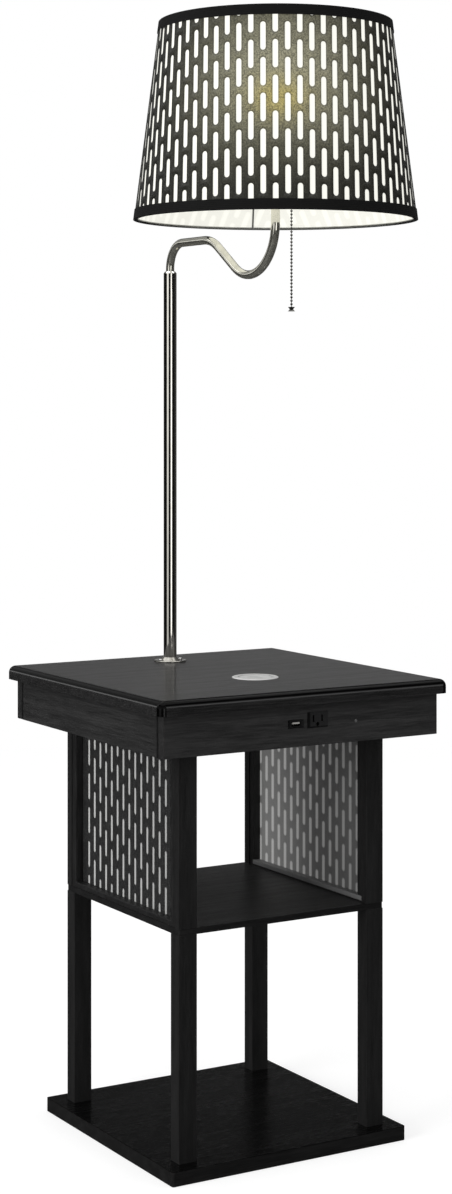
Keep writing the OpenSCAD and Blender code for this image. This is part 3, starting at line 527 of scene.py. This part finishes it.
def cover_finish(looks):
    """Black speckled cover, which the bulb's light comes through, brightest beside the bulb."""
    made = speckled("shade_cover", looks.cover, looks.glint, 950, 0.56)
    x, y, z = made.axes()
    middle = shade_cone()[0]
    # Painted glow of the bulb's light: full in front of and behind the axis, fading towards the sides, with a
    # hot spot beside the bulb and dimmer in a halo round each slot.
    ahead = (abs(x * FRONT.x + y * FRONT.y - middle.dot(FRONT)) / GLOW_REACH).at_most(1.0)
    across = x * ACROSS.x + y * ACROSS.y - middle.dot(ACROSS)
    height = ((z - GLOW_HEIGHT) / GLOW_SPREAD).bell()
    spot = ((z - HOT_HEIGHT) / HOT_SPREAD).bell() * (across / HOT_WIDTH).bell()
    coarse = made.noise(made.along(560, 560, 560), detail=2.5, roughness=0.75).ramp(0.34, 0.68)
    patch = made.noise(made.along(60, 60, 60))
    amount = 0.006 + 1.05 * height * ahead ** 5 + 0.10 * spot * ahead
    halo = shade_slots(made, looks, 0.0028, 0.0012)
    amount = amount * (0.45 + 0.90 * coarse + 0.45 * (patch - 0.5)) * (1 - 0.38 * halo)
    warm = made.mix(spot, looks.glow, looks.hot)
    made.shade(Emission_Color=made.mix(amount, BLACK, warm), Emission_Strength=1.0)
    return made.material


def shade_liner_finish(looks):
    """Lit white liner of the shade, with a fine paper grain, its glow painted light: brighter behind the
    cover's slots and beside the bulb, greyer where the cover backs it.
    """
    made = Finish("shade_liner", Roughness=0.6, Specular_IOR_Level=0.2, Emission_Strength=1.0)
    z = made.axes()[2]
    grain = made.noise(made.along(420, 420, 420), detail=3.0)
    slots = shade_slots(made, looks, 0.0, 0.0015)
    beside_bulb = ((z - LINER_HEIGHT) / LINER_SPREAD).bell()
    level = 0.83 + 0.04 * beside_bulb + 0.05 * (grain - 0.5) + 0.12 * slots
    made.shade(
        Base_Color=made.mix(grain * 0.5, (0.22, 0.215, 0.20), (0.19, 0.185, 0.17)),
        Emission_Color=made.mix(level, BLACK, looks.liner),
    )
    made.bump(grain, 0.00005, 0.3)
    return made.material


def tape_finish():
    """Black woven tape that trims the shade's edges."""
    made = Finish("trim_tape", Specular_IOR_Level=0.15)
    row_pitch = 0.002244
    rows = (made.axes()[2] * (2 * math.pi / row_pitch)).sine() * 0.5 + 0.5
    threads = made.noise(made.along(900, 900, 3200))
    made.shade(
        Base_Color=made.mix(rows * 0.5 + threads * 0.5, (0.0030, 0.0030, 0.0030), (0.0095, 0.0095, 0.0093)),
        Roughness=0.7 + 0.2 * threads,
    )
    made.bump(rows * 0.5 + threads * 0.5, 0.00012, 0.7)
    return made.material


def bulb_finish(looks):
    """Frosted, lit glass, a little darker near its neck."""
    made = Finish("bulb_glass", Roughness=0.35, Coat_Weight=0.4)
    z = made.axes()[2]
    frost = made.noise(made.along(600, 600, 600))
    level = 0.75 + 0.25 * z.ramp(BULB_NECK, BULB_BELLY) + 0.03 * frost
    made.shade(
        Base_Color=made.mix(frost, (0.8, 0.79, 0.75), (0.86, 0.85, 0.82)),
        Emission_Color=made.mix(level, (0.2, 0.15, 0.08), looks.bulb),
        Emission_Strength=2.2,
    )
    return made.material


def pad_finish(looks, name, middle):
    """Silver paint with turned rings round the pad's middle."""
    made = Finish(name, Specular_IOR_Level=0.3)
    x, y, _ = made.axes()
    dx, dy = x - middle[0], y - middle[1]
    radius = (dx * dx + dy * dy).root()
    ring_pitch = 0.0012083
    rings = (radius * (2 * math.pi / ring_pitch)).sine() * 0.5 + 0.5
    cloud = made.noise(made.along(90, 90, 90))
    dull = tuple(c * 0.45 for c in looks.pad_silver)
    groove = ((radius - 0.0218) / 0.0011).bell()
    centre = radius.ramp(0.0100, 0.0120, 1.0, 0.0)
    # Turned rings, random clouding, a darker middle and a dark groove ring dull the silver.
    dulling = rings * 0.14 + cloud * 0.2 + centre * 0.28 + groove * 0.6
    made.shade(
        Base_Color=made.mix(dulling, looks.pad_silver, dull),
        Roughness=0.32 + 0.1 * cloud,
    )
    made.bump(rings, 0.00002, 0.4)
    return made.material


def coil_finish(middle):
    """Enamelled copper wire, wound flat round the pad's middle."""
    made = Finish("copper_winding", Metallic=0.9)
    x, y, _ = made.axes()
    dx, dy = x - middle[0], y - middle[1]
    wire_width = 0.0008
    turns = ((dx * dx + dy * dy).root() * (2 * math.pi / wire_width)).sine() * 0.5 + 0.5
    made.shade(
        Base_Color=made.mix(turns, (0.30, 0.10, 0.035), (0.72, 0.32, 0.13)),
        Roughness=0.45 - 0.2 * turns,
    )
    made.bump(turns, 0.0003, 0.6)
    return made.material


def board_finish():
    """Green circuit board with lighter tracks."""
    made = Finish("circuit_board", Roughness=0.35)
    sockets = {"Vector": made.along(160, 160, 160), "Scale": 1.0}
    tracks = made.node("ShaderNodeTexVoronoi", {"distance": "MANHATTAN", "feature": "F1"}, sockets)
    made.shade(Base_Color=made.mix(tracks.ramp(0.4, 0.5), (0.012, 0.09, 0.035), (0.03, 0.19, 0.075)))
    made.bump(tracks, 0.0001, 0.4)
    return made.material


def dress(node, finish, smooth=None):
    """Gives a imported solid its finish. smooth is the width of a bevel on its edges."""
    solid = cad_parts[node]
    for slot in solid.material_slots:
        slot.material = finish
    if not solid.material_slots:
        solid.data.materials.append(finish)
    if smooth:
        weld = solid.modifiers.new("weld", "WELD")
        weld.merge_threshold = WELD_DISTANCE
        bevel = solid.modifiers.new("bevel", "BEVEL")
        bevel.width = smooth
        bevel.segments = 2
        bevel.limit_method = "ANGLE"
        bevel.angle_limit = math.radians(40)
        bevel.harden_normals = False
        bevel.use_clamp_overlap = True


# -----------------------------------------------------------------------------------------
# New pieces


def finished(name, bm, material, body):
    """An object from a bmesh whose place is already in its mesh."""
    mesh = bpy.data.meshes.new(name)
    bm.to_mesh(mesh)
    bm.free()
    mesh.materials.append(material)
    piece = bpy.data.objects.new(name, mesh)
    bpy.context.scene.collection.objects.link(piece)
    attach(piece, body)
    return piece


def slot_cell(bm, width, slot, pitch, rise):
    """One cell of the flat pattern: a rectangle with a round-ended slot in its middle."""
    half, straight = width / 2, (slot - width) / 2
    side, top = pitch / 2, rise / 2
    heights = [-straight, straight - top, 0.0, top - straight, straight]
    inner = [(half, h) for h in heights]
    outer = [(side, h) for h in heights]
    turns = [math.pi * n / 5 for n in range(1, 5)]
    inner += [(half * math.cos(t), straight + half * math.sin(t)) for t in turns]
    outer += [(side, top), (side / 3, top), (-side / 3, top), (-side, top)]
    inner += [(-x, -y) for x, y in inner]
    outer += [(-x, -y) for x, y in outer]
    edges = []
    for ring in (inner, outer):
        verts = [bm.verts.new((x, y, 0.0)) for x, y in ring]
        edges += [bm.edges.new((verts[n - 1], verts[n])) for n in range(len(verts))]
    return bmesh.ops.bridge_loops(bm, edges=edges)["faces"]


def cut(bm, point, normal):
    """Cuts away what lies on the side of a plane that its normal points to."""
    geometry = bm.verts[:] + bm.edges[:] + bm.faces[:]
    bmesh.ops.bisect_plane(bm, geom=geometry, plane_co=point, plane_no=normal, clear_outer=True)


def slotted_cover(looks):
    """The slotted cover, cut as a flat sheet and rolled into a cone, with its seam behind."""
    low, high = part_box("shade_cover")
    middle, radius, top_radius, lean, apex = shade_cone()
    from_apex = (apex - looks.slot_height) / math.cos(lean)
    bm = bmesh.new()
    cell = slot_cell(bm, looks.slot_width, looks.slot_length, looks.slot_pitch, looks.slot_rise)
    cell_geometry = list({v for f in cell for v in f.verts}) + list({e for f in cell for e in f.edges}) + cell
    columns = int(math.pi * radius / looks.slot_pitch) + 1
    rows = 8
    far = radius / math.sin(lean)
    near = top_radius / math.sin(lean)
    turn = math.pi * math.sin(lean)
    for n in range(-columns, columns + 1):
        for m in range(-rows, rows + 1):
            x = n * looks.slot_pitch + looks.slot_turn
            y = from_apex + (m + (n % 2) / 2) * looks.slot_rise
            rho, angle = math.hypot(x, y), abs(math.atan2(x, y))
            spare = looks.slot_rise
            if near - spare < rho < far + spare and angle < turn + spare / rho:
                copy = bmesh.ops.duplicate(bm, geom=cell_geometry)["geom"]
                moved = [g for g in copy if isinstance(g, bmesh.types.BMVert)]
                bmesh.ops.translate(bm, verts=moved, vec=(x, y, 0))
    bmesh.ops.delete(bm, geom=cell, context="FACES")
    bmesh.ops.remove_doubles(bm, verts=bm.verts, dist=WELD_DISTANCE)
    for side in (-1, 1):
        cut(bm, (0, 0, 0), Vector((side * math.cos(turn), -math.sin(turn), 0)))
    for v in bm.verts:
        rho, angle = math.hypot(v.co.x, v.co.y), math.atan2(v.co.x, v.co.y) / math.sin(lean)
        out = FRONT * math.cos(angle) + ACROSS * math.sin(angle)
        v.co = middle + out * (rho * math.sin(lean)) + Vector((0, 0, apex - rho * math.cos(lean)))
    for height, normal in ((low.z, (0, 0, -1)), (high.z, (0, 0, 1))):
        cut(bm, (0, 0, height), normal)
    bmesh.ops.remove_doubles(bm, verts=bm.verts, dist=WELD_DISTANCE)
    bmesh.ops.recalc_face_normals(bm, faces=bm.faces)
    face = next(iter(bm.faces))
    outward = face.calc_center_median() - middle
    outward.z = 0
    if face.normal.dot(outward) < 0:
        bmesh.ops.reverse_faces(bm, faces=bm.faces)
    for f in bm.faces:
        f.smooth = True
    piece = finished("shade_cover_slotted", bm, cover_finish(looks), "arm")
    wall = piece.modifiers.new("thickness", "SOLIDIFY")
    wall.thickness = looks.thickness
    wall.offset = -1.0
    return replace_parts(piece, "shade_cover")


# -----------------------------------------------------------------------------------------
# Operators


class LAMP_OT_boards(bpy.types.Operator):
    """Wood-grain laminate on the boards, legs and posts"""

    bl_idname = "lamp.boards"
    bl_label = "Boards"

    def execute(self, context):
        looks = context.scene.lamp_finishes

        # Painted light and shade: the laminate's colours scaled by a tone that stands in for how the lamps
        # light each group of boards.
        def light_toned(name, grain, tone, **more):
            tints = [tuple(c * tone for c in tint) for tint in (looks.laminate, looks.laminate_light)]
            return laminate(name, grain, *tints, looks.laminate_rough, **more)

        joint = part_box("apron_left")[0].y
        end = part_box("apron_front")[1].x
        # The front and rear boards, box floor and glue blocks are painted lighter, and the legs, posts, shelf
        # and base darker, than the sides.
        boards = light_toned("laminate_boards", 0, looks.front, seams=(joint, -joint), end=end)
        sides = light_toned("laminate_sides", 1, 1.0, seams=(joint, -joint))
        upright = light_toned("laminate_upright", 2, looks.legs)
        shelf = light_toned("laminate_shelf", 0, looks.shelf, specular=0.25)
        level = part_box("base_board")[1].z
        base = light_toned("laminate_base", 0, looks.base, bump=0.00003, level=level, specular=0.1)
        corners = [f"{row}_{side}" for row in ("front", "rear") for side in ("left", "right")]
        legs = [f"{kind}_{corner}" for kind in ("leg", "post") for corner in corners]
        groups = (
            (["apron_front", "apron_rear", "box_floor", "glue_blocks"], boards),
            (["shelf_board"], shelf),
            (["apron_left", "apron_right"], sides),
            (legs, upright),
            (["base_board"], base),
        )
        for nodes, finish in groups:
            for node in nodes:
                dress(node, finish, looks.edge_round)
        dress("table_top", top_laminate(looks))
        return {"FINISHED"}


class LAMP_OT_panels(bpy.types.Operator):
    """Slotted sheets and liners of the side panels"""

    bl_idname = "lamp.panels"
    bl_label = "Side panels"

    def execute(self, context):
        looks = context.scene.lamp_finishes
        sheet = speckled("panel_sheet", (0.010, 0.010, 0.010), (0.075, 0.075, 0.075), 850, 0.6).material
        liner = panel_liner()
        frames = frame_finish(looks)
        for side in ("left", "right"):
            dress(f"panel_frame_{side}", frames, looks.edge_round)
            dress(f"panel_sheet_{side}", sheet)
            dress(f"panel_liner_{side}", liner)
        return {"FINISHED"}


class LAMP_OT_metals(bpy.types.Operator):
    """Pole, arm, fasteners and other metal"""

    bl_idname = "lamp.metals"
    bl_label = "Metal"

    def execute(self, context):
        looks = context.scene.lamp_finishes
        pole = metal("pole_nickel", looks.nickel, looks.nickel_rough, tarnish=0.03, brush=0.0)
        flange = metal("flange_nickel", tuple(c * 0.5 for c in looks.nickel), 0.2, along=0, tarnish=0.1)
        arm = metal("arm_nickel", looks.arm_metal, looks.arm_rough, along=1, metallic=0.94)
        bright = metal("bright_steel", (0.62, 0.62, 0.61), 0.2)
        bead = metal("bead_nickel", (0.20, 0.20, 0.195), 0.3)
        zinc = metal("zinc_plate", (0.50, 0.50, 0.48), 0.32, along=0, tarnish=0.1)
        wire = metal("wire_steel", (0.36, 0.36, 0.35), 0.35, along=0, tarnish=0.1)
        brass = metal("brass", (0.66, 0.46, 0.20), 0.28, tarnish=0.08)
        groups = (
            (pole, ["pole_tube", "pole_cap"]),
            (flange, ["pole_flange"]),
            (arm, ["arm_tube", "socket_cup"]),
            (bright, ["flange_screws", "arm_ring"]),
            (bead, ["pull_chain", "chain_bell"]),
            (zinc, ["base_screws", "leg_studs", "post_studs", "floor_inserts", "pole_nipple", "nipple_nut"]),
            (wire, ["shade_spider", "shade_bottom_ring", "shade_top_ring"]),
            (brass, ["bulb_base", "outlet_contacts"]),
        )
        for finish, nodes in groups:
            for node in nodes:
                dress(node, finish)
        return {"FINISHED"}


class LAMP_OT_electrics(bpy.types.Operator):
    """Sockets, charging pad, indicator and the parts behind them"""

    bl_idname = "lamp.electrics"
    bl_label = "Sockets and pad"

    def execute(self, context):
        looks = context.scene.lamp_finishes
        black = plastic("black_plastic", looks.plastic, 0.3)
        ivory = plastic("white_plastic", looks.ivory, 0.3)
        lens = plastic("indicator_lens", (0.085, 0.085, 0.085), 0.2)
        disc_low, disc_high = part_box("charger_disc")
        middle = (disc_low + disc_high) / 2
        dim = plastic("tongue_plastic", tuple(c * 0.5 for c in looks.ivory), 0.35)
        pale_black = tuple(c * 2.4 for c in looks.plastic)
        dress("outlet_body", port_face("outlet_face", "outlet_body", pale_black, 0.0030, 0.0014))
        dress("usb_module", port_face("usb_face", "usb_module", looks.plastic, 0.0014, 0.0010))
        for node in ("cord_gland", "charger_case"):
            dress(node, black)
        dress("usb_tongue", dim)
        for node in ("socket_body", "socket_ring"):
            dress(node, ivory)
        dress("indicator_led", lens)
        dress("charger_rim", pad_finish(looks, "pad_rim", middle))
        dress("charger_disc", pad_finish(looks, "pad_disc", middle))
        dress("charger_coil", coil_finish(middle))
        dress("power_board", board_finish())
        return {"FINISHED"}


class LAMP_OT_shade(bpy.types.Operator):
    """Slotted cover, lit liner, trim and bulb"""

    bl_idname = "lamp.shade"
    bl_label = "Shade and bulb"

    def execute(self, context):
        looks = context.scene.lamp_shade
        slotted_cover(looks)
        dress("shade_liner", shade_liner_finish(looks))
        tape = tape_finish()
        dress("trim_top", tape)
        dress("trim_bottom", tape)
        dress("bulb_globe", bulb_finish(looks))
        return {"FINISHED"}


def aim(item, place, target):
    """Puts an item at a place and turns it to a target."""
    item.location = place
    item.rotation_euler = (Vector(target) - Vector(place)).to_track_quat("-Z", "Y").to_euler()


def soft_lamp(name, place, target, size, power):
    """Rectangular area lamp that metal doesn't mirror."""
    light = bpy.data.lights.new(name, "AREA")
    light.shape = "RECTANGLE"
    light.size, light.size_y = size
    light.energy = power
    lamp = bpy.data.objects.new(name, light)
    bpy.context.scene.collection.objects.link(lamp)
    aim(lamp, place, target)
    lamp.visible_glossy = False


def studio_world(strength):
    """White behind the object, an even light, and softboxes between dark flags in metal."""
    world = bpy.data.worlds.new("studio")
    bpy.context.scene.world = world
    world.use_nodes = True
    room = Shading(world.node_tree)
    shader = room.tree.nodes["Background"]
    way = room.node("ShaderNodeTexCoord")
    x, y, z = [room.node("ShaderNodeSeparateXYZ", None, {0: way}, out=i) for i in range(3)]
    flat = (x * x + y * y).root().at_least(0.001)

    def box(degrees, half, soft):
        """1 within half degrees of a direction, counted to the right of the camera."""
        turn = math.radians(degrees)
        aim_at = FRONT * math.cos(turn) + ACROSS * math.sin(turn)
        near = (x * aim_at.x + y * aim_at.y) / flat
        return near.ramp(math.cos(math.radians(half + soft)), math.cos(math.radians(half)))

    def band(low, high, soft):
        """1 between two heights, given as sines."""
        return z.ramp(low - soft, low) * (1 - z.ramp(high, high + soft))

    # Upright strips near the horizon draw the stripes of the pole, from the front and from the rear.
    low = band(-0.2, 0.08, 0.02)
    front = 1.8 * box(23, 10, 2) + (1.05 + 4 * z) * box(-41.5, 14.5, 2.5) + 0.06 * box(108, 14, 5)
    rear = 0.9 * box(168, 13, 4) + 0.4 * box(-160, 9, 4)
    level = 0.006 + low * front + low * rear
    for power, heights, directions in SOFTBOXES:
        level = level + power * band(*heights) * box(*directions)
    # The upper half is grey, but dark behind, where the base board mirrors it. The ceiling is bright.
    level = level + 0.22 * z.ramp(0.18, 0.35) * (1 - 0.97 * box(180, 16, 10))
    level = level + 2.3 * z.ramp(0.74, 0.84) + 0.04 * (-z).ramp(0.22, 0.35)
    camera, glossy, through = [room.node("ShaderNodeLightPath", out=n) for n in (0, 3, 6)]
    seen = camera.at_least(through)
    total = strength * (1 - seen) * (1 - glossy) + seen + level * glossy * (1 - seen)
    room.feed(shader.inputs["Color"], (1.0, 1.0, 1.0))
    room.feed(shader.inputs["Strength"], total)


class LAMP_OT_stage(bpy.types.Operator):
    """Pale floor, soft lamps and the camera"""

    bl_idname = "lamp.stage"
    bl_label = "Stage"

    def execute(self, context):
        looks = context.scene.lamp_stage
        bm = bmesh.new()
        bmesh.ops.create_circle(bm, cap_ends=True, radius=3.2, segments=96)
        mesh = bpy.data.meshes.new("floor")
        bm.to_mesh(mesh)
        bm.free()
        floor = bpy.data.objects.new("floor", mesh)
        context.scene.collection.objects.link(floor)
        floor.location.z = -0.0005
        paint = Finish("floor_paint", Roughness=0.9, Specular_IOR_Level=0.0)
        ray, glossy = [paint.node("ShaderNodeLightPath", out=n) for n in (0, 3)]
        paint.shade(
            Base_Color=paint.mix(glossy, looks.floor, (0.08, 0.08, 0.08)),
            Emission_Color=paint.mix(ray, BLACK, (0.66, 0.66, 0.66)),
            Emission_Strength=1.0,
        )
        mesh.materials.append(paint.material)
        studio_world(looks.sky)
        soft_lamp("key", (-3.4, -0.8, 1.0), (0, 0, 0.6), (2.0, 1.6), looks.key)
        soft_lamp("fill", (3.0, -1.2, 1.8), (0, 0, 0.6), (2.0, 2.4), looks.fill)

        view = bpy.data.cameras.new("camera")
        view.sensor_fit = "VERTICAL"
        view.sensor_height = SENSOR_HEIGHT
        view.lens = FOCAL_LENGTH / PHOTO_HEIGHT * SENSOR_HEIGHT
        view.shift_y = (HORIZON_ROW - PHOTO_HEIGHT / 2) / PHOTO_HEIGHT
        view.clip_end = 60.0
        camera = bpy.data.objects.new("camera", view)
        context.scene.collection.objects.link(camera)
        camera.location = -CAMERA_BACK * LOOK + CAMERA_RIGHT * ACROSS + Vector((0, 0, CAMERA_HEIGHT))
        camera.rotation_euler = (math.pi / 2, 0, -LOOK_AZIMUTH)
        context.scene.camera = camera
        context.scene.view_settings.view_transform = "Standard"
        return {"FINISHED"}


class LAMP_PT_panel(bpy.types.Panel):
    """Everything that dresses the lamp"""

    bl_idname = "LAMP_PT_panel"
    bl_label = "Floor lamp with table"
    bl_space_type = "VIEW_3D"
    bl_region_type = "UI"
    bl_category = "Lamp"

    def draw(self, context):
        for step in STEPS:
            self.layout.operator(step.bl_idname)
        for group in (context.scene.lamp_finishes, context.scene.lamp_shade, context.scene.lamp_stage):
            box = self.layout.box()
            for key in group.__annotations__:
                box.prop(group, key)


STEPS = (LAMP_OT_stage, LAMP_OT_boards, LAMP_OT_panels, LAMP_OT_metals, LAMP_OT_electrics, LAMP_OT_shade)
CLASSES = (LampFinishes, ShadeLooks, StageLooks, *STEPS, LAMP_PT_panel)


def register():
    for made in CLASSES:
        bpy.utils.register_class(made)
    bpy.types.Scene.lamp_finishes = bpy.props.PointerProperty(type=LampFinishes)
    bpy.types.Scene.lamp_shade = bpy.props.PointerProperty(type=ShadeLooks)
    bpy.types.Scene.lamp_stage = bpy.props.PointerProperty(type=StageLooks)


def unregister():
    del bpy.types.Scene.lamp_stage
    del bpy.types.Scene.lamp_shade
    del bpy.types.Scene.lamp_finishes
    for made in reversed(CLASSES):
        bpy.utils.unregister_class(made)


def main():
    register()
    bpy.ops.lamp.stage()
    bpy.ops.lamp.boards()
    bpy.ops.lamp.panels()
    bpy.ops.lamp.metals()
    bpy.ops.lamp.electrics()
    bpy.ops.lamp.shade()


if __name__ == "__main__":
    main()
